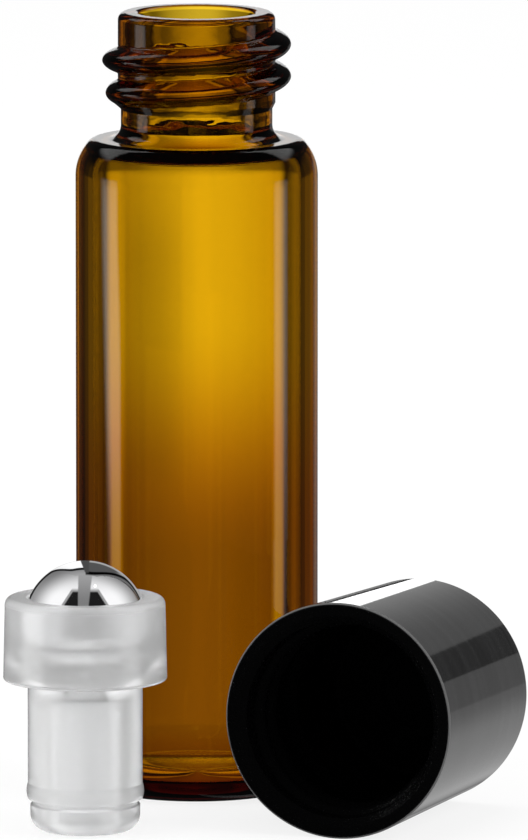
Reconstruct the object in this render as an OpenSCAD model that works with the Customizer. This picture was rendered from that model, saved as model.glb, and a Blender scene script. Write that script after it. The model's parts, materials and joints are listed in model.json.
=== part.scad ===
// Roll-on bottle set: a small glass vial with a screw neck, a plug housing
// with a steel ball snapped into its socket, and a tall screw cap. The vial
// stands open, the plug stands on its nose and the cap lies on its side.

/* [Vial] */
// Height of the glass vial
vial_h = 51.8; // [44:0.1:70]
// Outside diameter of the vial body
body_d = 16; // [14.5:0.1:20]
// Thickness of the side wall
wall_t = 1.1; // [0.8:0.05:1.5]
// Thickness of the base at its rim
base_t = 1.5; // [1.2:0.05:2.5]
// Rise of the hollow under the base
pushup_h = 0.5; // [0.2:0.05:0.9]
// Radius of the heel
heel_r = 2.2; // [1:0.1:2.8]
// Height of the neck from the shoulder to the rim
neck_h = 8.4; // [7.5:0.1:11]
// Diameter of the neck where the thread winds on it
root_d = 10.4; // [9.6:0.1:10.9]
// Height of the neck's threaded part, from the rim down
root_h = 6.2; // [5:0.1:7]
// Diameter of the neck below the thread
waist_d = 10; // [9.4:0.1:10.4]
// Outside diameter over the screw thread
thread_d = 12.5; // [12.2:0.1:13]
// Bore of the neck
bore_d = 7.6; // [7:0.05:8.2]

/* [Roller] */
// Diameter of the steel ball
ball_d = 8; // [7:0.05:8.4]
// Play between the ball and its socket, on each side
ball_play = 0.08; // [0.04:0.01:0.15]
// Depth of the ball's centre below the top of the collar
ball_sink = 1.65; // [1.4:0.05:2.2]
// How far the snap lip reaches over the ball, on each side
snap_grip = 0.2; // [0.1:0.02:0.3]
// Diameter of the collar at its underside
collar_d = 10.7; // [10:0.1:11.5]
// Height of the collar
collar_h = 5.45; // [4.8:0.05:7]
// Length of the plug below the collar
plug_l = 9.95; // [8:0.05:14]
// Bore of the hollow plug
hollow_d = 4.4; // [3:0.1:5]
// Bore of the feed port under the ball
port_d = 2; // [1.2:0.1:2.6]
// Number of feed flutes in the socket
flutes = 4; // [3:1:6]

/* [Cap] */
// Thickness of the cap's wall at its mouth, round the thread
cap_wall_t = 1.3; // [0.9:0.05:2]
// Draft of the cap's side
draft_angle = 1.3; // [0.5:0.1:2.5]
// Thickness of the cap's closed end
crown_t = 1; // [0.8:0.05:1.5]

/* [Layout] */
// Clear gap between the vial and the plug's collar
plug_gap = 5.3; // [1:0.1:20]
// Bearing of the plug, to the left of straight ahead of the vial
plug_angle = 22.8; // [0:0.1:60]
// Clear gap between the vial and the lying cap
cap_gap = 0.3; // [0.3:0.05:5]
// Turn of the cap's axis away from straight back, to the right
cap_angle = 19.8; // [0:0.1:30]
// Distance from the vial's axis forward to the cap's mouth, along the cap
cap_ahead = 16.3; // [14:0.1:30]

/* [Hidden] */
$fn = 96;

// Every cut runs past the face that it opens by this much
overrun = 0.2;

// Vial
shoulder_arc = 3.4;       // long arc from the side wall into the shoulder
shoulder_edge = 0.7;      // tight arc from there onto the flat of the shoulder
neck_cove = 0.9;          // flare of the neck onto the shoulder
rim_edge = 0.5;           // outer edge of the rim
bore_edge = 0.3;          // inner edge of the rim
roof_t = 1.1;             // glass over the inner shoulder
roof_edge = 0.35;         // tight inner corner under the flat of the shoulder
throat_edge = 1.3;        // inner edge where the bore opens into the body
floor_arc = 1.8;          // inner corner round the floor
foot_land = 0.7;          // from the heel's arc in to the hollow under the base
body_r = body_d / 2;
inner_r = body_r - wall_t;
shoulder_z = vial_h - neck_h;
pushup_r = body_r - heel_r - foot_land;
pushup_arc = (pushup_r * pushup_r + pushup_h * pushup_h) / (2 * pushup_h);

// Centre of the shoulder's long arc, and of the tight arc that runs into it
long_r = body_r - shoulder_arc;
edge_z = shoulder_z - shoulder_edge;
arc_step = shoulder_arc - shoulder_edge;
long_rise = 0.66 * arc_step;
long_z = edge_z - long_rise;
edge_r = long_r + sqrt(arc_step * arc_step - long_rise * long_rise);
meet_z = long_z + long_rise * shoulder_arc / arc_step;

// The same inside: a long arc that keeps the wall's thickness, and the tight corner under the roof
inner_arc = shoulder_arc - wall_t;
inner_step = inner_arc - roof_edge;
roof_z = shoulder_z - roof_t;
inner_rise = roof_z - roof_edge - long_z;
inner_edge_r = long_r + sqrt(inner_step * inner_step - inner_rise * inner_rise);
inner_meet_z = long_z + inner_rise * inner_arc / inner_step;

// Roller
stem_play = 0.05;         // plug in the neck's bore, on each side
bead_grip = 0.04;         // sealing bead into the bore's wall, on each side
bead_w = 1.05;            // length of the sealing bead
bead_z = 2.65;            // its middle, above the tip of the nose
nose_step = 0.16;         // nose smaller than the plug, on each side
nose_edge = 1.1;          // arc round the tip of the nose
groove_w = 0.35;          // relief groove between the bead and the nose
groove_t = 0.14;          // its depth into the nose
collar_taper = 0.12;      // collar narrower at the top, on each side
collar_top_edge = 0.45;
collar_low_edge = 0.2;
lip_edge = 0.12;          // flare of the snap lip
web_t = 0.8;              // web between the socket and the hollow plug
flute_w = 0.7;
flute_t = 0.3;            // depth of a flute beyond the socket
ball_r = ball_d / 2;
socket_r = ball_r + ball_play;
lip_r = ball_r - snap_grip;
stem_r = bore_d / 2 - stem_play;
bead_r = bore_d / 2 + bead_grip;
nose_r = stem_r - nose_step;
collar_r = collar_d / 2;
ball_z = plug_l + collar_h - ball_sink;
bead_rise = bead_r - stem_r;
bead_arc = (bead_w * bead_w / 4 + bead_rise * bead_rise) / (2 * bead_rise);
bead_low_z = bead_z - bead_w / 2;
hollow_top_z = ball_z - socket_r - web_t;

// Cap
thread_play = 0.2;        // cap's bore round the vial's thread, on each side
collar_play = 0.55;       // cap's upper bore round the collar, on each side
ball_gap = 0.1;           // closed end over the ball
shoulder_gap = 0.4;       // mouth over the vial's shoulder
crown_edge = 0.5;         // outer edge of the closed end
mouth_edge = 0.15;        // outer edge of the mouth
lead_in = 0.45;           // chamfer inside the mouth
crown_arc = 0.5;          // inner corner of the closed end
ring_t = 0.7;             // ring that keeps the ball down
ring_play = 0.1;          // ring over the ball
cap_bore_r = thread_d / 2 + thread_play;
mouth_r = cap_bore_r + cap_wall_t;
cap_upper_r = collar_r + collar_play;
ball_top = collar_h - ball_sink + ball_r;
cap_depth = neck_h - shoulder_gap + ball_top + ball_gap;
cap_l = cap_depth + crown_t;
bore_l = neck_h - shoulder_gap;
ring_r = ball_r * 0.6;    // where the ring sits over the ball
ring_h = ball_gap + ball_r - sqrt(ball_r * ball_r - ring_r * ring_r) - ring_play;

// Places of the plug and of the cap's mouth
plug_reach = body_r + plug_gap + collar_r;
plug_x = -plug_reach * sin(plug_angle);
plug_y = -plug_reach * cos(plug_angle);
cap_reach = (body_r + cap_gap) / cos(draft_angle) + mouth_r - cap_ahead * tan(draft_angle);
cap_x = cap_reach * cos(cap_angle) - cap_ahead * sin(cap_angle);
cap_y = -cap_reach * sin(cap_angle) - cap_ahead * cos(cap_angle);
cap_z = mouth_r * cos(draft_angle);

// What an arc of radius r leaves of a square corner, seen from the corner
module corner(r) {
    difference() {
        translate([-overrun, -overrun])
            square(r + overrun);
        translate([r, r])
            circle(r);
    }
}

// Half section of a bar that narrows upwards, with both its outer edges round
module drafted_section(low_r, h, draft, low_edge, top_edge) {
    low_arc_r = low_r - low_edge * tan(draft) - low_edge / cos(draft);
    low_meet_z = low_edge + low_edge * sin(draft);
    top_meet_z = h - top_edge + top_edge * sin(draft);
    top_arc_r = low_r - top_meet_z * tan(draft) - top_edge * cos(draft);
    translate([low_arc_r, low_edge])
        circle(low_edge);
    translate([top_arc_r, h - top_edge])
        circle(top_edge);
    polygon([
        [0, low_meet_z],
        [low_r - low_meet_z * tan(draft), low_meet_z],
        [low_r - top_meet_z * tan(draft), top_meet_z],
        [0, top_meet_z]
    ]);
    square([low_arc_r, low_meet_z]);
    square([top_arc_r, h]);
}

// Vial: body with its two-arc shoulder, and the neck flaring out of it
module glass_section() {
    difference() {
        union() {
            square([body_r, long_z]);
            intersection() {
                translate([long_r, long_z])
                    circle(shoulder_arc);
                square([body_r, meet_z]);
            }
            translate([edge_r, edge_z])
                circle(shoulder_edge);
            square([edge_r, shoulder_z]);
        }
        translate([body_r, 0])
            mirror([1, 0])
                corner(heel_r);
    }
    translate([waist_d / 2, shoulder_z])
        corner(neck_cove);
    square([waist_d / 2, vial_h - rim_edge]);
    difference() {
        translate([0, vial_h - root_h])
            square([root_d / 2, root_h]);
        translate([root_d / 2, vial_h])
            rotate(180)
                corner(rim_edge);
    }
}

// Vial: the space inside, from the floor up through the neck
module bore_section() {
    difference() {
        translate([0, base_t])
            square([inner_r, long_z - base_t]);
        translate([inner_r, base_t])
            mirror([1, 0])
                corner(floor_arc);
    }
    intersection() {
        translate([long_r, long_z])
            circle(inner_arc);
        square([inner_r, inner_meet_z]);
    }
    translate([inner_edge_r, roof_z - roof_edge])
        circle(roof_edge);
    translate([0, base_t + floor_arc])
        square([inner_edge_r, roof_z - base_t - floor_arc]);
    translate([0, base_t + floor_arc])
        square([bore_d / 2, vial_h + overrun - base_t - floor_arc]);
    translate([bore_d / 2, roof_z])
        corner(throat_edge);
    translate([bore_d / 2, vial_h])
        mirror([0, 1])
            corner(bore_edge);
}

module vial() {
    color("darkgoldenrod")
        difference() {
            rotate_extrude()
                glass_section();
            rotate_extrude()
                bore_section();
            translate([0, 0, pushup_h - pushup_arc])
                sphere(pushup_arc);
        }
}

// Housing: plug, sealing bead, relief groove and drafted collar in one
module housing_section() {
    difference() {
        union() {
            square([nose_r, bead_z]);
            translate([0, bead_z])
                square([stem_r, plug_l - bead_z + collar_low_edge]);
            intersection() {
                translate([bead_r - bead_arc, bead_z])
                    circle(bead_arc);
                translate([0, bead_low_z])
                    square([bead_r, bead_w]);
            }
            translate([0, bead_low_z])
                square([stem_r, bead_w]);
        }
        translate([nose_r, 0])
            mirror([1, 0])
                corner(nose_edge);
        translate([nose_r - groove_t, bead_low_z - groove_w])
            square([groove_t + overrun, groove_w]);
    }
    translate([0, plug_l])
        drafted_section(collar_r, collar_h, atan(collar_taper / collar_h), collar_low_edge, collar_top_edge);
}

// Feed flutes, cut into the lower half of the socket round the port
module flute_cuts() {
    intersection() {
        sphere(socket_r + flute_t);
        for (i = [0 : flutes - 1])
            rotate([0, 0, i * 360 / flutes])
                translate([0, -flute_w / 2, -socket_r - flute_t])
                    cube([socket_r * 0.75, flute_w, socket_r]);
    }
}

module roller_housing() {
    color("whitesmoke")
        translate([plug_x, plug_y, 0])
            difference() {
                rotate_extrude()
                    housing_section();
                translate([0, 0, ball_z]) {
                    sphere(socket_r);
                    flute_cuts();
                    cylinder(h = ball_sink + overrun, r = lip_r);
                }
                translate([0, 0, plug_l + collar_h - lip_edge])
                    cylinder(h = lip_edge, r1 = lip_r, r2 = lip_r + lip_edge);
                translate([0, 0, -overrun])
                    cylinder(h = hollow_top_z + overrun, r = hollow_d / 2);
                translate([0, 0, hollow_top_z - overrun])
                    cylinder(h = ball_z - hollow_top_z, r = port_d / 2);
            }
}

module roller_ball() {
    color("silver")
        translate([plug_x, plug_y, ball_z])
            sphere(ball_r);
}

// Cap: the space inside, from the chamfered mouth to the closed end
module cap_bore_section() {
    polygon([
        [0, -overrun],
        [cap_bore_r + lead_in + overrun, -overrun],
        [cap_bore_r, lead_in],
        [cap_bore_r, bore_l],
        [cap_upper_r, bore_l + cap_bore_r - cap_upper_r],
        [cap_upper_r, cap_depth - crown_arc],
        [0, cap_depth - crown_arc]
    ]);
    difference() {
        translate([0, bore_l])
            square([cap_upper_r, cap_depth - bore_l]);
        translate([cap_upper_r, cap_depth])
            rotate(180)
                corner(crown_arc);
    }
}

// Cap: upright on its mouth, with the ring that bears on the ball
module upright_cap() {
    difference() {
        rotate_extrude()
            drafted_section(mouth_r, cap_l, draft_angle, mouth_edge, crown_edge);
        rotate_extrude()
            cap_bore_section();
    }
    translate([0, 0, cap_depth - ring_h])
        difference() {
            cylinder(h = ring_h + crown_t / 2, r = ring_r + ring_t);
            translate([0, 0, -overrun])
                cylinder(h = ring_h + overrun, r = ring_r);
        }
}

// Laid down, the cap rests along its drafted side
module screw_cap() {
    color([0.07, 0.07, 0.08])
        translate([cap_x, cap_y, cap_z])
            rotate([-90 - draft_angle, 0, -cap_angle])
                upright_cap();
}

vial();
roller_housing();
roller_ball();
screw_cap();
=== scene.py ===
"""Roll-on bottle set: amber vial, frosted roller housing, steel ball and black screw cap."""

import json
import math

import bmesh
import bpy
import numpy as np
from mathutils import Matrix, Vector


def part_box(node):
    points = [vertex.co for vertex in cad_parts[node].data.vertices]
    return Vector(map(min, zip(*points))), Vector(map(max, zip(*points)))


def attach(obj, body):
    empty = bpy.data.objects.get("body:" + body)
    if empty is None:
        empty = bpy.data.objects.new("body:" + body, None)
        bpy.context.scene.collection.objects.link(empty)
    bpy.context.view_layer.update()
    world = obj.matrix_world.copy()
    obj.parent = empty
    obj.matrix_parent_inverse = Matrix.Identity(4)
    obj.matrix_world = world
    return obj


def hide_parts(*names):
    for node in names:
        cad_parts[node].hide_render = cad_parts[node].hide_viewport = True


MM = 0.001

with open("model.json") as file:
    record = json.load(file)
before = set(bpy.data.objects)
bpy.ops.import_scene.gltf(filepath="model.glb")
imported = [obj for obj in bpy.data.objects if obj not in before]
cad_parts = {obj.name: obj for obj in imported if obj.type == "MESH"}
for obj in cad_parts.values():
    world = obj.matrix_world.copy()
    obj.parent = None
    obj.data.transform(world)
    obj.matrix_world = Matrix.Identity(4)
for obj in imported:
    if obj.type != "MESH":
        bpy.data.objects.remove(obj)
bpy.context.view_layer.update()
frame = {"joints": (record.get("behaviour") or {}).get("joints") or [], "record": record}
mounts = {mount["name"]: mount for mount in frame["record"]["mounts"]}
joints = {joint["name"]: joint for joint in frame["joints"]}

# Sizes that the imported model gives, in millimetres
VIAL_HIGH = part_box("vial")[1] / MM
BODY_R = VIAL_HIGH.x
VIAL_H = VIAL_HIGH.z
BORE_R = mounts["neck_bore"]["dims"]["r_mm"]
ROOT_R = mounts["neck_root"]["dims"]["r_mm"]
STEM_R = mounts["plug_stem"]["dims"]["r_mm"]
CAP_BORE_R = mounts["cap_bore"]["dims"]["r_mm"]
BALL_CENTRE = Vector(joints["ball_roll"]["pos_m"]) / MM
BALL_LOW, BALL_HIGH = (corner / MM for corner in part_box("roller_ball"))
BALL_R = (BALL_HIGH.z - BALL_LOW.z) / 2
CAP_CENTRE = sum(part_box("screw_cap"), Vector()) / 2 / MM

# The vial's neck above its shoulder, and the screw thread's pitch on the neck and in the cap
NECK_H = 8.4
PITCH = 2.12

# The ball's play in its socket, and the port under it
BALL_PLAY = 0.08
PORT_R = 1.0

# The cap's own sizes. Its draft is in degrees.
CAP_WALL_T = 1.3
CAP_CROWN_T = 1.0
CAP_DRAFT = 1.3
CAP_LEAD_IN = 0.45
CAP_DEPTH = 15.9

# The photograph is taken from this much above level
CAMERA_PITCH = math.radians(8.1)
TO_CAMERA = Vector((0.0, -math.cos(CAMERA_PITCH), math.sin(CAMERA_PITCH)))

# The card that shows through the vial stands this far from the vial's middle
VIAL_CARD_R = 70

WHITE = (1.0, 1.0, 1.0, 1.0)

# How strongly a shell or card glows where it has no box
DIM_ROOM = 0.02


class Wire:
    """A node's output. Python's operators on it add Math nodes to its tree."""

    def __init__(self, graph, socket):
        self.graph = graph
        self.socket = socket

    def out(self, name):
        return Wire(self.graph, self.socket.node.outputs[name])

    def __add__(self, other):
        return self.graph.math("ADD", self, other)

    def __radd__(self, other):
        return self.graph.math("ADD", other, self)

    def __sub__(self, other):
        return self.graph.math("SUBTRACT", self, other)

    def __rsub__(self, other):
        return self.graph.math("SUBTRACT", other, self)

    def __mul__(self, other):
        return self.graph.math("MULTIPLY", self, other)

    def __rmul__(self, other):
        return self.graph.math("MULTIPLY", other, self)

    def __truediv__(self, other):
        return self.graph.math("DIVIDE", self, other)

    def __rtruediv__(self, other):
        return self.graph.math("DIVIDE", other, self)

    def __pow__(self, other):
        return self.graph.math("POWER", self, other)

    def __abs__(self):
        return self.graph.math("ABSOLUTE", self)


class Graph:
    """The nodes of one material, world or geometry tree."""

    def __init__(self, tree):
        self.tree = tree
        tree.nodes.clear()

    def add(self, kind, settings=None, inputs=None, output=0):
        node = self.tree.nodes.new(kind)
        for name, value in (settings or {}).items():
            setattr(node, name, value)
        for key, value in (inputs or {}).items():
            if isinstance(value, Wire):
                self.tree.links.new(value.socket, node.inputs[key])
            else:
                node.inputs[key].default_value = value
        return Wire(self, node.outputs[output]) if len(node.outputs) else node

    def math(self, operation, *values):
        return self.add("ShaderNodeMath", {"operation": operation}, dict(enumerate(values)))

    def vector_math(self, operation, *values):
        return self.add("ShaderNodeVectorMath", {"operation": operation}, dict(enumerate(values)))

    def smooth(self, value, low, high, at_low=0.0, at_high=1.0):
        """at_low below low, at_high above high, and an S-curve between them."""
        inputs = {"Value": value, "From Min": low, "From Max": high, "To Min": at_low, "To Max": at_high}
        return self.add("ShaderNodeMapRange", {"interpolation_type": "SMOOTHSTEP"}, inputs)

    def band(self, value, low, high, edge):
        """1 between low and high, with edges that fall off over the given width."""
        rise = self.smooth(value, low - edge / 2, low + edge / 2)
        return rise * self.smooth(value, high - edge / 2, high + edge / 2, 1.0, 0.0)

    def mix(self, factor, first, second):
        """A number between first and second."""
        return first + factor * (second - first)

    def mix_colour(self, factor, first, second):
        return self.add("ShaderNodeMix", {"data_type": "RGBA"}, {0: factor, 6: first, 7: second}, 2)

    def xyz(self, vector):
        """A vector's three numbers."""
        parts = self.add("ShaderNodeSeparateXYZ", None, {0: vector})
        return parts, parts.out("Y"), parts.out("Z")

    def vector(self, x, y, z):
        return self.add("ShaderNodeCombineXYZ", None, {0: x, 1: y, 2: z})


def new_material(name, viewport_colour):
    material = bpy.data.materials.new(name)
    material.use_nodes = True
    material.diffuse_color = viewport_colour
    return material, Graph(material.node_tree)


# Outlines. Each is a list of points (radius, height) in millimetres, walked in order.


def line(start, end, step):
    """Points along a straight run, with a row close to each end that keeps its shading straight."""
    start, end = np.array(start, float), np.array(end, float)
    length = np.linalg.norm(end - start)
    near = min(0.04, length / 4)
    count = max(1, round((length - 2 * near) / step))
    places = [0.0, *np.linspace(near, length - near, count + 1), length]
    return [tuple(start + (end - start) * place / length) for place in places]


def arc(centre, radius, first, last, step=5.0):
    """Points on an arc, from one angle to another in degrees."""
    count = max(2, math.ceil(abs(last - first) / step))
    angles = np.radians(np.linspace(first, last, count + 1))
    return [(centre[0] + radius * math.cos(a), centre[1] + radius * math.sin(a)) for a in angles]


def without_repeats(outline):
    """The outline less each point that lies on the one before it."""
    kept = [outline[0]]
    for point in outline[1:]:
        if math.dist(point, kept[-1]) > 1e-4:
            kept.append(point)
    return kept


def revolve(name, outline, columns):
    """Closed mesh from an outline turned about Z. It starts and ends on the axis, or closes on itself."""
    outline = without_repeats(outline)
    on_axis = outline[0][0] < 1e-6
    angles = np.linspace(0, 2 * math.pi, columns, endpoint=False)
    ring_points = outline[1:-1] if on_axis else outline
    vertices = [
        (radius * math.cos(angle), radius * math.sin(angle), height)
        for radius, height in ring_points
        for angle in angles
    ]
    rows = len(ring_points)
    faces = []
    for row in range(rows - 1 if on_axis else rows):
        upper = (row + 1) % rows
        for column in range(columns):
            beside = (column + 1) % columns
            faces.append((
                row * columns + column,
                row * columns + beside,
                upper * columns + beside,
                upper * columns + column,
            ))
    if on_axis:
        first_pole, last_pole = len(vertices), len(vertices) + 1
        vertices += [(0.0, 0.0, outline[0][1]), (0.0, 0.0, outline[-1][1])]
        last_row = (rows - 1) * columns
        for column in range(columns):
            beside = (column + 1) % columns
            faces.append((first_pole, beside, column))
            faces.append((last_row + column, last_row + beside, last_pole))
    mesh = bpy.data.meshes.new(name)
    mesh.from_pydata([tuple(value * MM for value in vertex) for vertex in vertices], [], faces)
    face_outwards(mesh)
    piece = bpy.data.objects.new(name, mesh)
    bpy.context.scene.collection.objects.link(piece)
    return piece


def face_outwards(mesh):
    """Closes the seams, turns every face outwards and shades it smooth."""
    shell = bmesh.new()
    shell.from_mesh(mesh)
    bmesh.ops.remove_doubles(shell, verts=shell.verts, dist=1e-7)
    bmesh.ops.recalc_face_normals(shell, faces=shell.faces)
    shell.to_mesh(mesh)
    shell.free()
    mesh.shade_smooth()


# Geometry trees


def geometry_tree(name, sizes):
    """A tree with a geometry input and one number input for each size."""
    tree = bpy.data.node_groups.new(name, "GeometryNodeTree")
    tree.interface.new_socket("Geometry", in_out="INPUT", socket_type="NodeSocketGeometry")
    for size in sizes:
        tree.interface.new_socket(size, in_out="INPUT", socket_type="NodeSocketFloat")
    tree.interface.new_socket("Material", in_out="INPUT", socket_type="NodeSocketMaterial")
    tree.interface.new_socket("Geometry", in_out="OUTPUT", socket_type="NodeSocketGeometry")
    graph = Graph(tree)
    entry = graph.add("NodeGroupInput")
    return tree, graph, entry


def finish_tree(graph, entry, geometry):
    """Ends a tree with plain geometry in the tree's material."""
    plain = graph.add("GeometryNodeRealizeInstances", None, {"Geometry": geometry})
    dressed = graph.add("GeometryNodeSetMaterial", None, {
        "Geometry": plain,
        "Material": entry.out("Material"),
    })
    graph.add("NodeGroupOutput", None, {"Geometry": dressed})


def screw_thread_tree():
    """Raises a rounded helical ridge on a wall round Z. A negative crest height raises it inwards."""
    sizes = [
        "Pitch", "Crest height", "Base width", "Start height", "First turn", "Last turn",
        "Fade in", "Fade out", "Least radius", "Greatest radius",
    ]
    tree, graph, entry = geometry_tree("screw_thread", sizes)
    size = {name: entry.out(name) for name in sizes}
    x, y, z = graph.xyz(graph.add("GeometryNodeInputPosition"))
    radius = (x * x + y * y) ** 0.5
    turn_share = graph.math("ARCTAN2", y, x) / math.tau
    winds = (z - size["Start height"]) / size["Pitch"] - turn_share
    wind = graph.math("ROUND", winds)
    off_crest = abs(winds - wind) * size["Pitch"] / (size["Base width"] * 0.5)
    ridge = graph.math("MAXIMUM", 1 - off_crest * off_crest, 0.0) ** 0.8
    turn = turn_share + wind
    fade_in = graph.smooth(turn, size["First turn"], size["First turn"] + size["Fade in"])
    fade_out = graph.smooth(turn, size["Last turn"] - size["Fade out"], size["Last turn"], 1.0, 0.0)
    on_wall = graph.math("GREATER_THAN", radius, size["Least radius"])
    on_wall = on_wall * graph.math("LESS_THAN", radius, size["Greatest radius"])
    rise = ridge * fade_in * fade_out * on_wall * size["Crest height"]
    rise = rise / graph.math("MAXIMUM", radius, 1e-5)
    raised = graph.add("GeometryNodeSetPosition", None, {
        "Geometry": entry.out("Geometry"),
        "Offset": graph.vector(x * rise, y * rise, 0.0),
    })
    finish_tree(graph, entry, raised)
    return tree


def uneven_bore_tree():
    """Draws shallow level ripples on the inside of a neck, as the forming pin leaves them."""
    sizes = ["Ripple depth", "Ripple height", "Greatest radius", "Low end", "High end"]
    tree, graph, entry = geometry_tree("uneven_bore", sizes)
    size = {name: entry.out(name) for name in sizes}
    x, y, z = graph.xyz(graph.add("GeometryNodeInputPosition"))
    radius = graph.math("MAXIMUM", (x * x + y * y) ** 0.5, 1e-5)
    around = 0.28 / size["Ripple height"]
    place = graph.vector(x * around, y * around, z / size["Ripple height"])
    ripple = graph.add("ShaderNodeTexNoise", None, {
        "Vector": place,
        "Scale": 1.0,
        "Detail": 2.0,
        "Roughness": 0.55,
    })
    inside = graph.math("LESS_THAN", radius, size["Greatest radius"])
    edge = size["Ripple height"] * 2
    inside = inside * graph.smooth(z, size["Low end"], size["Low end"] + edge)
    inside = inside * graph.smooth(z, size["High end"] - edge, size["High end"], 1.0, 0.0)
    depth = (ripple - 0.5) * size["Ripple depth"] * inside / radius
    rippled = graph.add("GeometryNodeSetPosition", None, {
        "Geometry": entry.out("Geometry"),
        "Offset": graph.vector(x * depth, y * depth, 0.0),
    })
    finish_tree(graph, entry, rippled)
    return tree


def feed_flutes_tree():
    """Presses evenly spaced grooves into the lower half of a ball socket."""
    sizes = ["Count", "Width", "Depth", "Socket radius", "Centre height", "Port radius"]
    tree, graph, entry = geometry_tree("feed_flutes", sizes)
    size = {name: entry.out(name) for name in sizes}
    x, y, z = graph.xyz(graph.add("GeometryNodeInputPosition"))
    socket_r, port_r = size["Socket radius"], size["Port radius"]
    level = z - size["Centre height"]
    radius = (x * x + y * y) ** 0.5
    distance = (radius * radius + level * level) ** 0.5
    share = graph.math("ARCTAN2", y, x) / math.tau * size["Count"]
    aside = abs(share - graph.math("ROUND", share)) / size["Count"] * math.tau * radius
    groove = graph.smooth(aside, size["Width"] * 0.35, size["Width"] * 0.6, 1.0, 0.0)
    on_socket = graph.math("LESS_THAN", abs(distance - socket_r), 0.02 * MM)
    on_socket = on_socket * graph.smooth(level, socket_r * -0.75, socket_r * -0.65, 1.0, 0.0)
    on_socket = on_socket * graph.smooth(radius, port_r * 1.02, port_r * 1.2)
    depth = groove * on_socket * size["Depth"] / graph.math("MAXIMUM", distance, 1e-5)
    pressed = graph.add("GeometryNodeSetPosition", None, {
        "Geometry": entry.out("Geometry"),
        "Offset": graph.vector(x * depth, y * depth, level * depth),
    })
    finish_tree(graph, entry, pressed)
    return tree


def shape_with(piece, tree, sizes, material):
    """Runs a geometry tree on a piece and keeps the result as a plain mesh."""
    modifier = piece.modifiers.new(tree.name, "NODES")
    modifier.node_group = tree
    values = {**sizes, "Material": material}
    for socket in tree.interface.items_tree:
        if socket.in_out == "INPUT" and socket.name in values:
            modifier[socket.identifier] = values[socket.name]
    bpy.context.view_layer.update()
    shaped = piece.evaluated_get(bpy.context.evaluated_depsgraph_get())
    mesh = bpy.data.meshes.new_from_object(shaped)
    piece.modifiers.clear()
    piece.data = mesh
    mesh.shade_smooth()


def in_metres(**sizes):
    """Sizes from millimetres, under the names of a tree's inputs."""
    return {name.replace("_", " ").capitalize(): value * MM for name, value in sizes.items()}


def hand_over(piece, body, node):
    """Puts a finished piece in the place of its CAD node."""
    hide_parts(node)
    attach(piece, body)


# Materials


def amber_glass():
    """Clear amber: red passes, green fades and blue is gone in about a millimetre."""
    absorbed_per_mm = (0.26, 0.555, 2.8)
    strongest = max(absorbed_per_mm)
    kept = tuple(1 - share / strongest for share in absorbed_per_mm)
    material, graph = new_material("amber_glass", (0.47, 0.25, 0.03, 1.0))
    place = graph.add("ShaderNodeTexCoord").out("Object")
    drawn = graph.add("ShaderNodeMapping", None, {"Vector": place, "Scale": (1.0, 1.0, 0.06)})
    streaks = graph.add("ShaderNodeTexNoise", None, {"Vector": drawn, "Scale": 700.0, "Detail": 2.0})
    bump = graph.add("ShaderNodeBump", None, {"Strength": 0.04, "Distance": 0.02 * MM, "Height": streaks})
    surface = graph.add("ShaderNodeBsdfPrincipled", None, {
        "Base Color": WHITE,
        "Roughness": 0.0,
        "IOR": 1.5,
        "Transmission Weight": 1.0,
        "Normal": bump,
    })
    inside = graph.add("ShaderNodeVolumeAbsorption", None, {
        "Color": (*kept, 1.0),
        "Density": strongest / MM,
    })
    graph.add("ShaderNodeOutputMaterial", None, {"Surface": surface, "Volume": inside})
    return material


def natural_plastic():
    """Uncoloured polyethylene: milky, satin, and thin enough to show the ball through the collar."""
    material, graph = new_material("natural_plastic", (0.86, 0.86, 0.87, 1.0))
    place = graph.add("ShaderNodeTexCoord").out("Object")
    cloud = graph.add("ShaderNodeTexNoise", None, {"Vector": place, "Scale": 260.0, "Detail": 3.0})
    grain = graph.add("ShaderNodeTexNoise", None, {"Vector": place, "Scale": 6000.0, "Detail": 2.0})
    cloudy = graph.smooth(cloud, 0.3, 0.7)
    colour = graph.mix_colour(cloudy, (0.925, 0.93, 0.94, 1.0), (0.965, 0.967, 0.97, 1.0))
    bump = graph.add("ShaderNodeBump", None, {"Strength": 0.03, "Distance": 0.01 * MM, "Height": grain})
    surface = graph.add("ShaderNodeBsdfPrincipled", None, {
        "Base Color": colour,
        "Roughness": graph.smooth(grain, 0.3, 0.7, 0.22, 0.26),
        "IOR": 1.5,
        "Transmission Weight": 0.7,
        "Subsurface Weight": 1.0,
        "Subsurface Radius": (1.0, 1.0, 1.0),
        "Subsurface Scale": 0.9 * MM,
        "Normal": bump,
    })
    graph.add("ShaderNodeOutputMaterial", None, {"Surface": surface})
    return material


def polished_steel():
    """Mirror-bright ball steel with a breath of haze and fine scratches."""
    material, graph = new_material("polished_steel", (0.78, 0.78, 0.79, 1.0))
    place = graph.add("ShaderNodeTexCoord").out("Object")
    haze = graph.add("ShaderNodeTexNoise", None, {"Vector": place, "Scale": 900.0, "Detail": 3.0})
    rubbed = graph.add("ShaderNodeMapping", None, {
        "Vector": place,
        "Rotation": (0.4, 0.9, 0.2),
        "Scale": (1.0, 14.0, 1.0),
    })
    scratches = graph.add("ShaderNodeTexNoise", None, {"Vector": rubbed, "Scale": 1800.0, "Detail": 1.0})
    bump = graph.add("ShaderNodeBump", None, {
        "Strength": 0.05,
        "Distance": 0.002 * MM,
        "Height": scratches,
    })
    surface = graph.add("ShaderNodeBsdfPrincipled", None, {
        "Base Color": (0.8, 0.8, 0.81, 1.0),
        "Metallic": 1.0,
        "Roughness": graph.smooth(haze, 0.3, 0.75, 0.02, 0.06),
        "Normal": bump,
    })
    graph.add("ShaderNodeOutputMaterial", None, {"Surface": surface})
    return material


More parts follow.
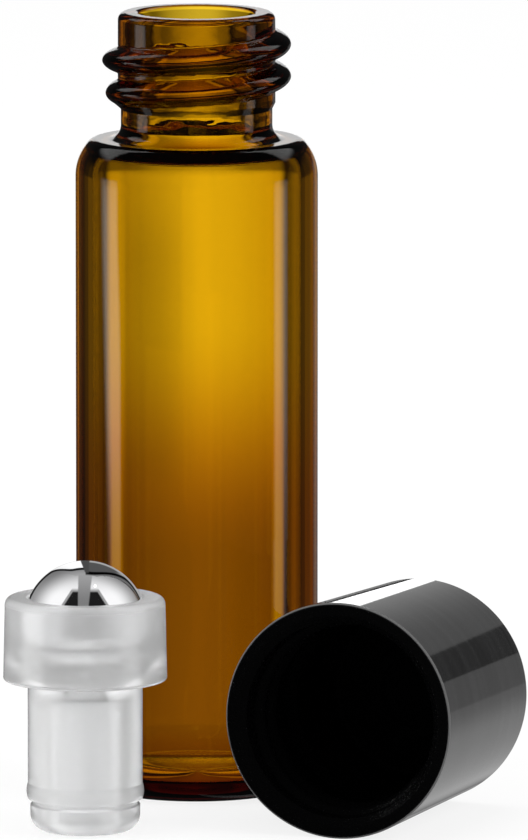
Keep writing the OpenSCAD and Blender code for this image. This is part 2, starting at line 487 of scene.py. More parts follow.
def black_plastic(lying):
    """Gloss black moulding with faint turned rings, painted darker and duller inside as painted shade, and
    a thin grey line round its mouth that is a painted highlight.
    """
    material, graph = new_material("black_plastic", (0.012, 0.012, 0.014, 1.0))
    upright = lying.inverted()
    place = graph.add("ShaderNodeTexCoord").out("Object")
    along = graph.add("ShaderNodeMapping", None, {
        "Vector": place,
        "Location": upright.to_translation(),
        "Rotation": upright.to_euler(),
    })
    ringed = graph.add("ShaderNodeMapping", None, {"Vector": along, "Scale": (0.05, 0.05, 1.0)})
    rings = graph.add("ShaderNodeTexNoise", None, {"Vector": ringed, "Scale": 1500.0, "Detail": 2.0})
    waves = graph.add("ShaderNodeTexNoise", None, {"Vector": along, "Scale": 800.0, "Detail": 1.0})
    grain = graph.add("ShaderNodeTexNoise", None, {"Vector": along, "Scale": 5000.0, "Detail": 2.0})
    bump = graph.add("ShaderNodeBump", None, {
        "Strength": 0.25,
        "Distance": 0.01 * MM,
        "Height": rings * 0.3 + waves * 0.6 + grain * 0.1,
    })
    x, y, depth = graph.xyz(along)
    radius = (x * x + y * y) ** 0.5
    mouth_r = (CAP_BORE_R + CAP_WALL_T) * MM
    # Painted highlight: a thin ring of paler grey, rougher colour on the mouth's outer edge stands in for
    # the light that edge catches.
    painted_mouth_highlight = graph.smooth(radius, mouth_r - 0.13 * MM, mouth_r - 0.08 * MM)
    painted_mouth_highlight = painted_mouth_highlight * graph.smooth(depth, 0.16 * MM, 0.11 * MM)
    painted_highlight_grey = (0.11, 0.11, 0.11, 1.0)
    ring_tone = graph.smooth(rings, 0.35, 0.65)
    black = graph.mix_colour(ring_tone, (0.0025, 0.0025, 0.0026, 1.0), (0.0085, 0.0085, 0.0088, 1.0))
    gloss = graph.add("ShaderNodeBsdfPrincipled", None, {
        "Base Color": graph.mix_colour(painted_mouth_highlight, black, painted_highlight_grey),
        "Roughness": graph.mix(painted_mouth_highlight, graph.smooth(grain, 0.3, 0.7, 0.03, 0.07), 0.35),
        "IOR": 1.5,
        "Normal": bump,
    })
    # Painted shade: inside the cap the black is darker and mirrors less than outside, standing in for the
    # shade in its hollow.
    painted_shade_inside = graph.add("ShaderNodeBsdfPrincipled", None, {
        "Base Color": (0.0012, 0.0012, 0.0013, 1.0),
        "Roughness": graph.smooth(grain, 0.3, 0.7, 0.2, 0.3),
        "IOR": 1.5,
        "Specular IOR Level": 0.12,
        "Normal": bump,
    })
    # Where the painted shade covers the inside of the cap.
    wall_r = mouth_r - depth * math.tan(math.radians(CAP_DRAFT))
    inside = graph.smooth(wall_r - radius, 0.12 * MM, 0.2 * MM)
    inside = inside * graph.smooth(depth, (CAP_DEPTH + 0.4) * MM, (CAP_DEPTH + 0.2) * MM)
    surface = graph.add("ShaderNodeMixShader", None, {0: inside, 1: gloss, 2: painted_shade_inside})
    graph.add("ShaderNodeOutputMaterial", None, {"Surface": surface})
    return material


# Pieces


def vial_outline():
    """From the middle of the hollow base, up the outside, over the rim and down the inside."""
    wall_t = 1.1
    base_t = 1.5
    pushup_h = 0.5
    heel_r = 2.2
    foot_land = 0.7
    foot_edge = 0.2
    root_h = 6.2
    root_cone = 0.2
    waist_r = 5.0
    shoulder_arc = 3.4
    shoulder_edge = 0.7
    neck_cove = 0.9
    rim_edge = 0.5
    bore_edge = 0.3
    roof_t = 1.1
    roof_edge = 0.35
    throat_edge = 1.3
    floor_arc = 1.8
    floor_rise = 0.25
    thread_step = 0.085
    inner_r = BODY_R - wall_t
    shoulder_z = VIAL_H - NECK_H
    pushup_r = BODY_R - heel_r - foot_land
    pushup_arc = (pushup_r ** 2 + pushup_h ** 2) / (2 * pushup_h)
    pushup_turn = math.degrees(math.asin(pushup_r / pushup_arc))
    arc_step = shoulder_arc - shoulder_edge
    long_rise = 0.66 * arc_step
    long_turn = math.degrees(math.asin(long_rise / arc_step))
    long_r = BODY_R - shoulder_arc
    edge_z = shoulder_z - shoulder_edge
    long_z = edge_z - long_rise
    edge_r = long_r + arc_step * math.cos(math.radians(long_turn))
    roof_z = shoulder_z - roof_t
    inner_arc = shoulder_arc - wall_t
    inner_rise = roof_z - roof_edge - long_z
    inner_turn = math.degrees(math.asin(inner_rise / (inner_arc - roof_edge)))
    inner_edge_r = long_r + math.sqrt((inner_arc - roof_edge) ** 2 - inner_rise ** 2)
    foot_r = pushup_r + foot_edge
    return [
        *arc((0, pushup_h - pushup_arc), pushup_arc, 90, 90 - pushup_turn * 0.97, pushup_turn / 10),
        (pushup_r - 0.02, 0.012),
        *line((foot_r, 0), (BODY_R - heel_r, 0), 0.3),
        *arc((BODY_R - heel_r, heel_r), heel_r, -90, 0),
        *line((BODY_R, heel_r), (BODY_R, long_z), 3.0),
        *arc((long_r, long_z), shoulder_arc, 0, long_turn, 3),
        *arc((edge_r, edge_z), shoulder_edge, long_turn, 90),
        *line((edge_r, shoulder_z), (waist_r + neck_cove, shoulder_z), 0.2),
        *arc((waist_r + neck_cove, shoulder_z + neck_cove), neck_cove, 270, 180, 7),
        *line((waist_r, shoulder_z + neck_cove), (waist_r, VIAL_H - root_h - root_cone), thread_step),
        *line((ROOT_R, VIAL_H - root_h + root_cone), (ROOT_R, VIAL_H - rim_edge), thread_step),
        *arc((ROOT_R - rim_edge, VIAL_H - rim_edge), rim_edge, 0, 90, 9),
        *line((ROOT_R - rim_edge, VIAL_H), (BORE_R + bore_edge, VIAL_H), 0.2),
        *arc((BORE_R + bore_edge, VIAL_H - bore_edge), bore_edge, 90, 180, 12),
        *line((BORE_R, VIAL_H - bore_edge), (BORE_R, roof_z + throat_edge), 0.13),
        *arc((BORE_R + throat_edge, roof_z + throat_edge), throat_edge, 180, 270, 9),
        *line((BORE_R + throat_edge, roof_z), (inner_edge_r, roof_z), 0.2),
        *arc((inner_edge_r, roof_z - roof_edge), roof_edge, 90, inner_turn, 9),
        *arc((long_r, long_z), inner_arc, inner_turn, 0, 3),
        *line((inner_r, long_z), (inner_r, base_t + floor_arc), 3.0),
        *arc((inner_r - floor_arc, base_t + floor_arc), floor_arc, 0, -90),
        *line((inner_r - floor_arc, base_t), (0, base_t + floor_rise), 0.8),
    ]


def make_vial(material, thread, uneven_bore):
    left_crest_z = 46.5
    vial = revolve("amber_vial", vial_outline(), 240)
    shape_with(vial, uneven_bore, in_metres(
        ripple_depth=0.05,
        ripple_height=0.45,
        greatest_radius=BORE_R + 0.05,
        low_end=VIAL_H - NECK_H,
        high_end=VIAL_H - 0.4,
    ), material)
    shape_with(vial, thread, {
        **in_metres(
            pitch=PITCH,
            crest_height=1.04,
            base_width=1.7,
            start_height=left_crest_z - PITCH / 2,
            least_radius=(BORE_R + ROOT_R) / 2,
            greatest_radius=ROOT_R + 0.1,
        ),
        "First turn": 0.36,
        "Last turn": 2.2,
        "Fade in": 0.22,
        "Fade out": 0.16,
    }, material)
    hand_over(vial, "vial", "vial")
    return vial


def housing_outline():
    """From the nose, up the hollow, through the port and the ball's socket, and down the outside."""
    collar_r = 5.35
    collar_h = 5.45
    collar_taper = 0.12
    plug_l = 9.95
    top_edge = 0.45
    low_edge = 0.2
    lip_edge = 0.12
    socket_r = BALL_R + BALL_PLAY
    lip_r = BALL_R - 0.2
    hollow_r = 2.2
    hollow_edge = 0.1
    nose_r = STEM_R - 0.16
    nose_edge = 1.1
    groove_w = 0.35
    groove_t = 0.14
    groove_edge = 0.06
    bead_z = 2.65
    bead_w = 1.05
    bead_rise = 0.09
    web_t = 0.8
    stem_foot = 0.12
    bevel = 0.05
    ball_z = BALL_CENTRE.z
    collar_z = plug_l + collar_h
    lean = math.degrees(math.atan(collar_taper / collar_h))
    lip_z = ball_z + math.sqrt(socket_r ** 2 - lip_r ** 2)
    port_z = ball_z - math.sqrt(socket_r ** 2 - PORT_R ** 2)
    hollow_z = ball_z - socket_r - web_t
    port_turn = math.degrees(math.asin(PORT_R / socket_r))
    lip_turn = math.degrees(math.acos(lip_r / socket_r))
    bead_arc = (bead_w ** 2 / 4 + bead_rise ** 2) / (2 * bead_rise)
    bead_turn = math.degrees(math.asin(bead_w / 2 / bead_arc))
    low_z = bead_z - bead_w / 2
    groove_z = low_z - groove_w
    return [
        *line((hollow_r, bevel), (hollow_r, hollow_z - hollow_edge), 1.5),
        *arc((hollow_r - hollow_edge, hollow_z - hollow_edge), hollow_edge, 0, 90, 30),
        *line((hollow_r - hollow_edge, hollow_z), (PORT_R + bevel, hollow_z), 0.4),
        *line((PORT_R, hollow_z + bevel), (PORT_R, port_z), 0.3),
        *arc((0, ball_z), socket_r, port_turn - 90, lip_turn, 2.5),
        *line((lip_r, lip_z), (lip_r, collar_z - lip_edge), 0.2),
        *arc((lip_r + lip_edge, collar_z - lip_edge), lip_edge, 180, 90, 18),
        *line((lip_r + lip_edge, collar_z), (collar_r - collar_taper - top_edge, collar_z), 0.15),
        *arc((collar_r - collar_taper - top_edge, collar_z - top_edge), top_edge, 90, lean, 6),
        *line(
            (collar_r - collar_taper * (1 - top_edge / collar_h), collar_z - top_edge),
            (collar_r - collar_taper * low_edge / collar_h, plug_l + low_edge),
            0.5,
        ),
        *arc((collar_r - low_edge, plug_l + low_edge), low_edge, 0, -90, 12),
        *line((collar_r - low_edge, plug_l), (STEM_R + stem_foot, plug_l), 0.3),
        *arc((STEM_R + stem_foot, plug_l - stem_foot), stem_foot, 90, 180, 18),
        *line((STEM_R, plug_l - stem_foot), (STEM_R, bead_z + bead_w / 2 + groove_edge), 0.7),
        *arc((STEM_R + bead_rise - bead_arc, bead_z), bead_arc, bead_turn, -bead_turn, bead_turn / 6),
        (nose_r - groove_t + bevel, low_z - 0.02),
        *line((nose_r - groove_t, low_z - groove_edge), (nose_r - groove_t, groove_z + groove_edge), 0.1),
        (nose_r - bevel, groove_z),
        *line((nose_r, groove_z - bevel), (nose_r, nose_edge), 0.2),
        *arc((nose_r - nose_edge, nose_edge), nose_edge, 0, -90, 6),
        *line((nose_r - nose_edge, 0), (hollow_r + bevel, 0), 0.2),
    ]


def make_housing(material, feed_flutes):
    housing = revolve("frosted_housing", housing_outline(), 192)
    shape_with(housing, feed_flutes, {
        **in_metres(
            width=0.7,
            depth=0.3,
            socket_radius=BALL_R + BALL_PLAY,
            centre_height=BALL_CENTRE.z,
            port_radius=PORT_R,
        ),
        "Count": 4.0,
    }, material)
    housing.data.transform(Matrix.Translation((BALL_CENTRE.x * MM, BALL_CENTRE.y * MM, 0)))
    hand_over(housing, "roller", "roller_housing")
    return housing


def make_ball(material):
    """A finely divided cube, pushed out to a sphere, so that no pole shows in the mirror."""
    faces_along_edge = 32
    shell = bmesh.new()
    bmesh.ops.create_cube(shell, size=2.0)
    cuts = faces_along_edge - 1
    bmesh.ops.subdivide_edges(shell, edges=shell.edges, cuts=cuts, use_grid_fill=True)
    for vertex in shell.verts:
        spread = Vector(math.tan(value * math.pi / 4) for value in vertex.co)
        vertex.co = (spread.normalized() * BALL_R + BALL_CENTRE) * MM
    mesh = bpy.data.meshes.new("steel_ball")
    shell.to_mesh(mesh)
    shell.free()
    mesh.shade_smooth()
    mesh.materials.append(material)
    ball = bpy.data.objects.new("steel_ball", mesh)
    bpy.context.scene.collection.objects.link(ball)
    hand_over(ball, "ball", "roller_ball")
    return ball


def cap_place():
    """The lying cap's place: the middle of its mouth at the origin, its closed end towards +Z."""
    bore = mounts["cap_bore"]
    inward = -Vector(bore["axis"]).normalized()
    mouth = Vector(bore["pos_m"]) - inward * (bore["dims"]["length_mm"] / 2 + CAP_LEAD_IN) * MM
    turn = math.atan2(inward.x, inward.y)
    lean = math.acos(inward.z)
    return Matrix.Translation(mouth) @ Matrix.Rotation(-turn, 4, "Z") @ Matrix.Rotation(-lean, 4, "X")


def cap_outline():
    """From the middle of the closed end, down the outside to the mouth, and up the inside."""
    mouth_edge = 0.15
    crown_edge = 0.5
    crown_arc = 0.5
    upper_r = 5.9
    bore_l = 8.0
    ring_r = 2.4
    ring_t = 0.7
    ring_h = 0.8
    bevel = 0.05
    lead_in = CAP_LEAD_IN
    depth = CAP_DEPTH
    mouth_r = CAP_BORE_R + CAP_WALL_T
    length = depth + CAP_CROWN_T
    slope = math.tan(math.radians(CAP_DRAFT))
    crown_r = mouth_r - slope * length
    return [
        *line((0, length), (crown_r - crown_edge, length), 1.2),
        *arc((crown_r - crown_edge, length - crown_edge), crown_edge, 90, CAP_DRAFT, 6),
        *line(
            (crown_r + slope * crown_edge, length - crown_edge),
            (mouth_r - slope * mouth_edge, mouth_edge),
            0.8,
        ),
        *arc((mouth_r - mouth_edge, mouth_edge), mouth_edge, 0, -90, 15),
        *line((mouth_r - mouth_edge, 0), (CAP_BORE_R + lead_in + bevel, 0), 0.2),
        *line((CAP_BORE_R + lead_in, bevel), (CAP_BORE_R, lead_in), 0.15),
        *line((CAP_BORE_R, lead_in), (CAP_BORE_R, bore_l), 0.09),
        *line((upper_r, bore_l + CAP_BORE_R - upper_r), (upper_r, depth - crown_arc), 0.6),
        *arc((upper_r - crown_arc, depth - crown_arc), crown_arc, 0, 90, 9),
        *line((upper_r - crown_arc, depth), (ring_r + ring_t, depth), 0.6),
        *line((ring_r + ring_t, depth), (ring_r + ring_t, depth - ring_h), 0.2),
        *line((ring_r + ring_t, depth - ring_h), (ring_r, depth - ring_h), 0.2),
        *line((ring_r, depth - ring_h), (ring_r, depth), 0.2),
        *line((ring_r, depth), (0, depth), 0.6),
    ]


def make_cap(material, thread, lying):
    on_bore = 0.01
    cap = revolve("black_cap", cap_outline(), 256)
    shape_with(cap, thread, {
        **in_metres(
            pitch=PITCH,
            crest_height=-0.55,
            base_width=1.2,
            start_height=1.6,
            least_radius=CAP_BORE_R - on_bore,
            greatest_radius=CAP_BORE_R + on_bore,
        ),
        "First turn": 0.0,
        "Last turn": 2.3,
        "Fade in": 0.12,
        "Fade out": 0.12,
    }, material)
    cap.data.transform(lying)
    hand_over(cap, "cap", "screw_cap")
    return cap


# Stage


def on_stage(name, mesh, material):
    piece = bpy.data.objects.new(name, mesh)
    bpy.context.scene.collection.objects.link(piece)
    mesh.materials.append(material)
    return piece


def make_floor():
    """White floor. To the camera it is mostly a white of its own, and the rest of it takes the shadow."""
    own_white = 0.85
    floor_r = 3.0
    material, graph = new_material("white_floor", WHITE)
    seen = graph.add("ShaderNodeLightPath").out("Is Camera Ray")
    matt = graph.add("ShaderNodeBsdfDiffuse", None, {"Color": (0.9, 0.9, 0.9, 1.0)})
    white = graph.add("ShaderNodeEmission", None, {"Color": WHITE, "Strength": 1.0})
    surface = graph.add("ShaderNodeMixShader", None, {0: seen * own_white, 1: matt, 2: white})
    graph.add("ShaderNodeOutputMaterial", None, {"Surface": surface})
    shell = bmesh.new()
    bmesh.ops.create_circle(shell, cap_ends=True, segments=96, radius=floor_r)
    mesh = bpy.data.meshes.new("floor")
    shell.to_mesh(mesh)
    shell.free()
    floor = on_stage("floor", mesh, material)
    floor.visible_glossy = False
    floor.visible_transmission = False


def link_to(lit_thing, pieces):
    """Lets a glowing thing light only the given pieces."""
    linked = bpy.data.collections.new(lit_thing.name + "_pieces")
    for piece in pieces:
        linked.objects.link(piece)
    lit_thing.light_linking.receiver_collection = linked


def show_only_in(seen_by, lit_thing):
    """Shows a glowing thing to mirrored rays alone, or to rays through glass alone."""
    lit_thing.visible_camera = False
    lit_thing.visible_diffuse = False
    lit_thing.visible_shadow = False
    lit_thing.visible_glossy = seen_by == "mirrors"
    lit_thing.visible_transmission = seen_by == "glass"


def add_tent(name, shell, pieces, seen_by, pattern):
    """A glowing shell round the set that lights only the given pieces, and only in what they mirror or let
    through. It stands for the soft boxes and cards round a piece while that piece is photographed."""
    material, graph = new_material(name, WHITE)
    strength, colour = pattern(graph, graph.add("ShaderNodeTexCoord").out("Object"))
    glow = graph.add("ShaderNodeEmission", None, {"Color": colour, "Strength": strength})
    open_air = graph.add("ShaderNodeBsdfTransparent")
    surface = graph.add("ShaderNodeAddShader", None, {0: glow, 1: open_air})
    graph.add("ShaderNodeOutputMaterial", None, {"Surface": surface})
    material.cycles.emission_sampling = "NONE"
    bmesh.ops.scale(shell, vec=(MM, MM, MM), verts=shell.verts)
    mesh = bpy.data.meshes.new(name)
    shell.to_mesh(mesh)
    shell.free()
    mesh.shade_smooth()
    tent = on_stage(name, mesh, material)
    show_only_in(seen_by, tent)
    link_to(tent, pieces)


def ball_shell(radius, centre=(0, 0, 0)):
    shell = bmesh.new()
    place = Matrix.Translation(centre)
    bmesh.ops.create_uvsphere(shell, u_segments=96, v_segments=48, radius=radius, matrix=place)
    return shell


def drum_shell(radius, height):
    shell = bmesh.new()
    sizes = {"radius1": radius, "radius2": radius, "depth": height}
    bmesh.ops.create_cone(shell, cap_ends=True, segments=128, **sizes)
    return shell


# Patterns of light. Each gives the strength and the colour at a place on its shell or card. Bearings
# and rises are in degrees, and heights in millimetres. The numbers say where a box, card or gap has its
# edges, as the photographed reflections place them, and how bright it is.


def bearings(graph, place, centre=(0, 0, 0)):
    """Bearings from straight ahead and from straight behind, both positive to the right, and rise."""
    offset = graph.vector_math("SUBTRACT", place, [value * MM for value in centre])
    x, y, z = graph.xyz(offset)
    ahead = graph.math("ARCTAN2", x, 0 - y) * math.degrees(1)
    behind = graph.math("ARCTAN2", x, y) * math.degrees(1)
    rise = graph.math("ARCTAN2", z, (x * x + y * y) ** 0.5) * math.degrees(1)
    return ahead, behind, rise


def behind_vial(graph, place):
    """The bright card that shows through the glass. It stands on four sides, so that all are lit alike."""
    brightness = 1.39
    x, y, z = graph.xyz(place)
    height = z / MM
    quarter = graph.math("ARCTAN2", x, y) * math.degrees(1) / 90
    aside = (quarter - graph.math("ROUND", quarter)) * 90
    left = graph.smooth(aside, -19.0, -15.0, 0.03, 0.56) + graph.smooth(aside, -13.0, 1.0, 0.0, 0.5)
    right = graph.smooth(aside, 2.0, 13.0, 1.0, 0.78) * graph.smooth(aside, 13.0, 17.0, 1.0, 0.05)
    dip = graph.smooth(aside, -11.0, -10.2) * graph.smooth(aside, -5.0, 1.5, 0.31, 0.0)
    dip = dip * graph.smooth(height, 6.0, 13.0) * graph.smooth(height, 26.0, 32.0, 1.0, 0.5)
    left_line = graph.band(aside, -18.0, -11.8, 2.0) * 0.36
    card = graph.math("MINIMUM", left, 1.06) * right * (1 - dip + left_line)
    fall = graph.smooth(height, 4.5, 23.0, 0.27, 1.0)
    edges = graph.band(aside, -15.5, -11.5, 2.0) + graph.band(aside, 11.5, 15.5, 2.0)
    edges = edges * (1 - fall)
    glow = graph.smooth(aside, -32.0, -40.0, 0.0, 0.06) + graph.band(aside, -26.0, -20.0, 3.0) * 0.07
    glow = glow + graph.smooth(aside, 17.0, 23.0, 0.0, 0.26) * graph.smooth(aside, 24.0, 38.0, 1.0, 0.5)
    low = graph.smooth(height, -8.0, -12.0, 1.0, 0.85)
    top = graph.smooth(height, 33.2, 37.5, 1.0, 0.62) * graph.smooth(height, 44.0, 58.0, 1.0, 0.05)
    neck = graph.smooth(height, 34.0, 38.0)
    narrow = 1 - neck * graph.smooth(abs(aside + 1), 2.5, 8.0, 0.0, 0.5)
    elsewhere = 1 - neck * graph.smooth(y, 30 * MM, 10 * MM) * 0.5
    whiteness = graph.math("MAXIMUM", graph.smooth(height, 7.0, 22.0), edges)
    colour = graph.mix_colour(whiteness, (1.0, 0.6, 0.5, 1.0), (1.0, 0.985, 1.0, 1.0))
    strength = (card * fall + edges * 0.47 + glow) * low * top * narrow * elsewhere
    return strength * brightness, colour


def below_vial(graph, place):
    """Dimmer cards on the slants, low down, for the views that look down through the glass."""
    _, behind, rise = bearings(graph, place)
    slant = (behind - 45) / 90
    aside = abs(slant - graph.math("ROUND", slant)) * 90
    card = graph.smooth(aside, 6.0, 16.0, 0.9, 0.0)
    return card * graph.smooth(rise, -22.0, -30.0), WHITE


def round_vial(graph, place):
    """Tall soft boxes at both sides, two high up behind the shoulder, and a low panel behind the rim."""
    ahead, behind, rise = bearings(graph, place)
    strip_left = graph.smooth(ahead + graph.smooth(rise, -6.0, 3.0, 0.0, 9.5), -95.0, -87.0)
    strip_left = strip_left * graph.smooth(ahead + graph.smooth(rise, -1.5, 2.0, -1.0, 3.0), -75.0, -80.0)
    strip_left = strip_left * graph.smooth(rise, -5.0, -1.8, 0.5, 1.95)
    strip_left = strip_left * graph.smooth(rise, 1.5, 3.0, 1.0, 0.6)
    strip_right = graph.band(ahead, 79.0, 95.0, 5.0) * graph.smooth(rise, 1.5, 3.0, 1.4, 0.8)
    strip_right = strip_right * graph.smooth(rise, -5.5, -1.0, 0.32, 1.0)
    strips = (strip_left + strip_right) * graph.smooth(rise, 8.0, 14.0, 1.0, 0.0)
    strips = strips * graph.smooth(rise, -40.0, -30.0)
    upper_boxes = graph.band(abs(ahead), 106.0, 136.0, 8.0) * graph.band(rise, 36.0, 68.0, 8.0)
    panel = graph.band(behind, -11.0, 11.0, 4.0) * graph.band(rise, 5.0, 22.0, 3.0)
    right_edge = graph.band(behind, 14.0, 32.0, 6.0) * graph.smooth(rise, 8.0, 14.0, 0.16, 0.0)
    return strips + upper_boxes + panel + right_edge + DIM_ROOM, WHITE


def round_cap(graph, place):
    """A white panel low behind the cap, a grey wall on its right with a dark bar, and the table."""
    _, behind, rise = bearings(graph, place, CAP_CENTRE)
    panel = graph.band(behind, -6.0, 3.8, 0.6) * graph.band(rise, 2.8, 13.2, 0.6) * 2.6
    outline = graph.band(behind, -8.0, 6.0, 0.6) * graph.smooth(rise, 0.8, -0.2) * 0.25
    on_right = graph.band(behind, -1.0, 62.0, 4.0)
    wall = on_right * graph.smooth(rise, 5.5, 5.9) * graph.smooth(rise, 30.0, 40.0, 1.0, 0.0)
    wall = wall * graph.smooth(behind, 1.0, 27.0, 0.47, 0.3)
    bar = graph.smooth(behind, 29.6, 30.2) * graph.band(rise, 5.7, 14.2, 0.5)
    low_on_right = graph.smooth(behind, 2.0, 14.0) * graph.smooth(behind, 58.0, 66.0, 1.0, 0.0)
    table = graph.smooth(rise, -4.2, -5.0, 0.3, 0.42) + graph.smooth(rise, -5.0, -15.0, 0.0, 0.26)
    table = table * low_on_right * graph.smooth(rise, 5.9, 5.5)
    return panel + outline + wall * (1 - bar * 0.73) + table + DIM_ROOM, WHITE


def boxes_on_ball(graph, across, up):
    """The boxes, bars and dark gaps, by where the ball's face mirrors them: 1 is the ball's edge."""
    out = (across * across + up * up) ** 0.5
    # The broad box overhead, and the dark gap that widens downwards in it
    box = graph.smooth(out, 0.95, 0.62, 0.36, 1.2) * graph.smooth(up, 0.4, 0.82, 1.0, 0.6)
    half_gap = 0.205 + (0.485 - up) * 0.64
    from_gap = abs(across - 0.005) - half_gap
    border = graph.smooth(from_gap, 0.035, 0.055, 0.65, 0.0) * graph.smooth(up, 0.56, 0.5)
    box = box * (1 - border)
    gap = graph.smooth(from_gap, 0.012, -0.012) * graph.smooth(up, 0.505, 0.475)
    front = box * (1 - gap) + gap * 0.015
    # The grey bar that stands up from the gap, and the lamp's spot
    bar = graph.smooth(across, -0.12, -0.1) * graph.smooth(across - up * 0.11, 0.045, 0.02)
    bar = bar * graph.smooth(up, 0.82, 0.78)
    front = graph.mix(bar, front, graph.smooth(up, 0.3, 0.8, 0.25, 0.42))
    aside = across - 0.168
    spot = graph.smooth((aside * aside * 2.2 + (up - 0.585) * (up - 0.585)) ** 0.5, 0.034, 0.02)
    front = front + spot * 1.4
    # The rims past the box's ends, pale on the left and slate grey on the right
    turn_left = graph.math("ARCTAN2", up, 0 - across) * math.degrees(1)
    turn_right = graph.math("ARCTAN2", up, across) * math.degrees(1)
    past_left = out - graph.smooth(turn_left, 78.0, 54.0, 0.86, 0.963)
    past_right = out - graph.smooth(turn_right, 84.0, 40.0, 0.8, 0.95)
    left_rim = graph.smooth(past_left, 0.026, 0.034, 0.01, 1.0)
    left_rim = left_rim * graph.smooth(turn_left, 55.0, 80.0, 1.0, 1.25)
    left_rim = left_rim * graph.smooth(out, 0.988, 0.996, 1.0, 0.6)
    left_side = graph.mix(graph.smooth(past_left, -0.008, 0.004), front, left_rim)
    slate = graph.smooth(turn_right, 50.0, 60.0, 0.75, 0.19)
    right_rim = graph.smooth(past_right, 0.03, 0.045, 0.025, 1.0) * slate
    right_rim = graph.mix(graph.smooth(out, 0.966, 0.978), right_rim, 0.8)
    right_side = graph.mix(graph.smooth(past_right, -0.008, 0.004), front, right_rim)
    right_side = right_side * graph.smooth(past_right + 0.055, 0.0, 0.04, 1.0, 0.55)
    # The dark notch at the top
    notch = graph.smooth(up, 0.8, 0.84) * graph.smooth(across + (up - 0.88) * 0.5, -0.04, -0.02)
    notch = notch * graph.smooth(across, 0.07, 0.05)
    both = graph.mix(graph.smooth(across, 0.0, 0.015), left_side, right_side)
    return graph.mix(notch, both, 0.08)


def round_roller(graph, place):
    """Big soft boxes round the ball, and a tall one at each side of its housing."""
    ahead, _, _ = bearings(graph, place, BALL_CENTRE)
    offset = graph.vector_math("SUBTRACT", place, BALL_CENTRE * MM)
    towards = graph.vector_math("NORMALIZE", offset)
    halfway = graph.vector_math("ADD", towards, TO_CAMERA)
    facing = graph.vector_math("NORMALIZE", halfway)
    across, y, z = graph.xyz(facing)
    up = y * math.sin(CAMERA_PITCH) + z * math.cos(CAMERA_PITCH)
    on_ball = boxes_on_ball(graph, across, up) * graph.smooth(up, 0.12, 0.2)
    strip_left = graph.band(ahead, -100.0, -62.0, 8.0)
    strip_right = graph.band(ahead, 52.0, 84.0, 10.0)
    strips = (strip_left * 1.6 + strip_right) * graph.smooth(up, 0.2, 0.12, 0.0, 2.2)
    table = graph.smooth(up, 0.2, 0.12, 0.0, 0.12) + graph.smooth(up, -0.25, -0.6, 0.0, 1.2)
    return on_ball + strips + table, WHITE


def beside_ball(graph, place):
    """The same boxes on the near card, drawn closer together because the card stands closer to the ball."""
    x, _, z = graph.xyz(place)
    drop = 1.3
    ball_edge = 3.7
    card_away = 8.6
    across = x / MM - BALL_CENTRE.x
    up = z / MM - BALL_CENTRE.z + drop
    out = (across * across + up * up) ** 0.5
    spread = graph.math("MAXIMUM", out - ball_edge, 0.0) / card_away
    share = ((spread * spread + 1) ** -0.5 * 0.5 + 0.5) ** 0.5
    return boxes_on_ball(graph, across / out * share, up / out * share), WHITE


def behind_roller(graph, place):
    """A white card that glows through the milky plastic, brighter on its left half and dim in front."""
    ahead, behind, rise = bearings(graph, place, BALL_CENTRE)
    left = graph.smooth(graph.math("SINE", behind / math.degrees(1)), 0.06, -0.1)
    front = graph.smooth(abs(ahead), 20.0, 50.0, graph.smooth(rise, -50.0, -22.0, 1.7, 0.05), 1.0)
    return (left * 0.35 + 1.0) * front, WHITE


def dark(graph, place):
    """A side of a card that stays as dim as the room."""
    return DIM_ROOM, WHITE


def behind_card(graph, place):
    """What the card between roller and vial covers on the vial's side, drawn where the way on would end."""
    x, _, z = graph.xyz(place)
    least_spread = 1.82
    spread_per_mm2 = 0.028
    drop = 8.4
    spread = x * x / (MM * MM) * spread_per_mm2 + least_spread
    return behind_vial(graph, graph.vector(x * spread, -VIAL_CARD_R * MM, z - drop * MM))


def strip_beside_vial(graph, place):
    """The tall box on the vial's right, on a card between vial and cap, as the vial would mirror it."""
    _, y, z = graph.xyz(place)
    strip = graph.band(y / MM, -6.79, -5.19, 0.5) * graph.smooth(z / MM, 8.0, 18.0, 0.4, 0.65)
    return strip + DIM_ROOM, WHITE


def add_card_between(name, seen_by, route, high, to_other, to_vial, pieces=None):
    """An upright card between the vial and another piece that glows to both as if the other weren't
    there, because the photograph shows each piece lit by itself. Given pieces, only they see it."""
    foot_gap = 0.05
    material, graph = new_material(name, WHITE)
    place = graph.add("ShaderNodeTexCoord").out("Object")
    sides = []
    for pattern in (to_other, to_vial):
        strength, colour = pattern(graph, place)
        sides.append(graph.add("ShaderNodeEmission", None, {"Color": colour, "Strength": strength}))
    on_vial_side = graph.add("ShaderNodeNewGeometry").out("Backfacing")
    surface = graph.add("ShaderNodeMixShader", None, {0: on_vial_side, 1: sides[0], 2: sides[1]})
    graph.add("ShaderNodeOutputMaterial", None, {"Surface": surface})
    material.cycles.emission_sampling = "NONE"
    count = len(route)
    corners = [(x * MM, y * MM, z * MM) for z in (foot_gap, high) for x, y in route]
    faces = [(at, at + 1, at + 1 + count, at + count) for at in range(count - 1)]
    mesh = bpy.data.meshes.new(name)
    mesh.from_pydata(corners, [], faces)
    card = on_stage(name, mesh, material)
    show_only_in(seen_by, card)
    if pieces:
        link_to(card, pieces)


def add_soft_light(name, size, power, place):
    """A square lamp that faces the set and lights its matt surfaces, but shows in none."""
    lamp = bpy.data.lights.new(name, "AREA")
    lamp.shape = "SQUARE"
    lamp.size = size
    lamp.energy = power
    light = bpy.data.objects.new(name, lamp)
    light.location = place
    light.rotation_euler = (-Vector(place)).to_track_quat("-Z", "Y").to_euler()
    light.visible_glossy = False
    light.visible_transmission = False
    bpy.context.scene.collection.objects.link(light)


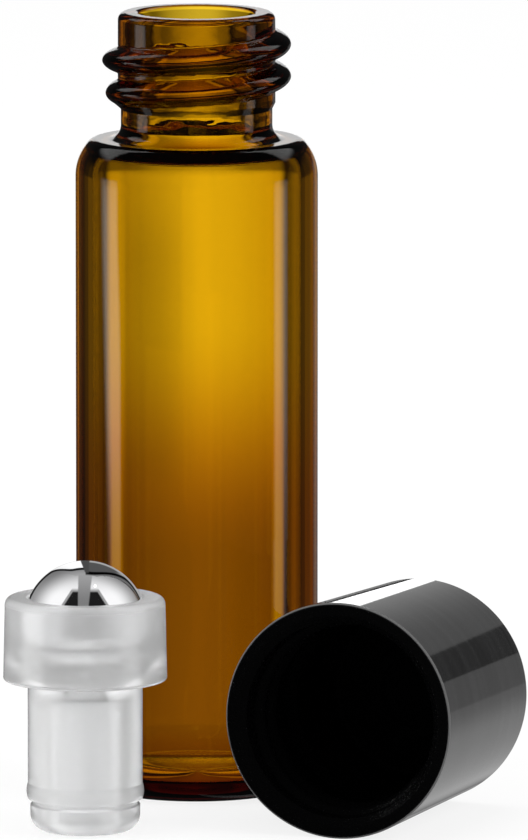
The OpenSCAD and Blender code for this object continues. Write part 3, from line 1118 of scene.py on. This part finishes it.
def make_world():
    """White to the camera, a soft even light to matt surfaces, and nothing to mirrored or bent rays."""
    even_light = 0.55
    world = bpy.data.worlds.new("studio")
    bpy.context.scene.world = world
    world.use_nodes = True
    graph = Graph(world.node_tree)
    path = graph.add("ShaderNodeLightPath")
    softly = (1 - path.out("Is Glossy Ray")) * (1 - path.out("Is Transmission Ray")) * even_light
    strength = graph.mix(path.out("Is Camera Ray"), softly, 1.0)
    sky = graph.add("ShaderNodeBackground", None, {"Color": WHITE, "Strength": strength})
    graph.add("ShaderNodeOutputWorld", None, {"Surface": sky})


def make_camera():
    """Looks down at the set from the photograph's angle, from far off through a long lens."""
    aim = Vector((4.447, 0.0, 24.6)) * MM
    distance = 1081.0 * MM
    camera = bpy.data.cameras.new("camera")
    camera.sensor_width = 36.0
    camera.lens = 700.0
    camera.clip_start = 0.05
    viewer = bpy.data.objects.new("camera", camera)
    viewer.location = aim + distance * TO_CAMERA
    viewer.rotation_euler = (math.pi / 2 - CAMERA_PITCH, 0.0, 0.0)
    bpy.context.scene.collection.objects.link(viewer)
    bpy.context.scene.camera = viewer


thread = screw_thread_tree()
vial = make_vial(amber_glass(), thread, uneven_bore_tree())
housing = make_housing(natural_plastic(), feed_flutes_tree())
ball = make_ball(polished_steel())
lying = cap_place()
cap = make_cap(black_plastic(lying), thread, lying)
make_floor()

# The room of light round each piece, one shell inside the next, with radii in millimetres
add_tent("card_behind_vial", drum_shell(VIAL_CARD_R, 300), [vial], "glass", behind_vial)
add_tent("cards_below_vial", ball_shell(248), [vial], "glass", below_vial)
add_tent("boxes_round_vial", ball_shell(250), [vial], "mirrors", round_vial)
add_tent("panels_round_cap", ball_shell(246, CAP_CENTRE), [cap], "mirrors", round_cap)
add_tent("boxes_round_roller", ball_shell(240, BALL_CENTRE), [housing, ball], "mirrors", round_roller)
add_tent("card_behind_roller", ball_shell(238, BALL_CENTRE), [housing, ball], "glass", behind_roller)

# Cards that keep the pieces out of each other's reflections, with corners and heights in millimetres
add_card_between("card_for_mirrors", "mirrors", [(-15, -8.6), (2.5, -8.6)], 50, beside_ball, dark)
corner_route = [(-15, -8.6), (-0.6, -8.6), (-0.6, -27)]
add_card_between("card_for_glass", "glass", corner_route, 30, behind_roller, behind_card)
cap_route = [(8.3, -9), (8.3, -3.5)]
add_card_between("card_beside_cap", "mirrors", cap_route, 17, dark, strip_beside_vial, [vial])

# Lamps, with sizes and places in metres
add_soft_light("soft_left", 0.4, 3.0, (-0.6, -0.25, 0.5))
add_soft_light("soft_right", 0.4, 3.0, (0.6, -0.25, 0.5))
add_soft_light("soft_top", 0.5, 2.5, (0.0, 0.2, 0.8))
make_world()
make_camera()

# A colour shows as it is written
bpy.context.scene.view_settings.view_transform = "Standard"
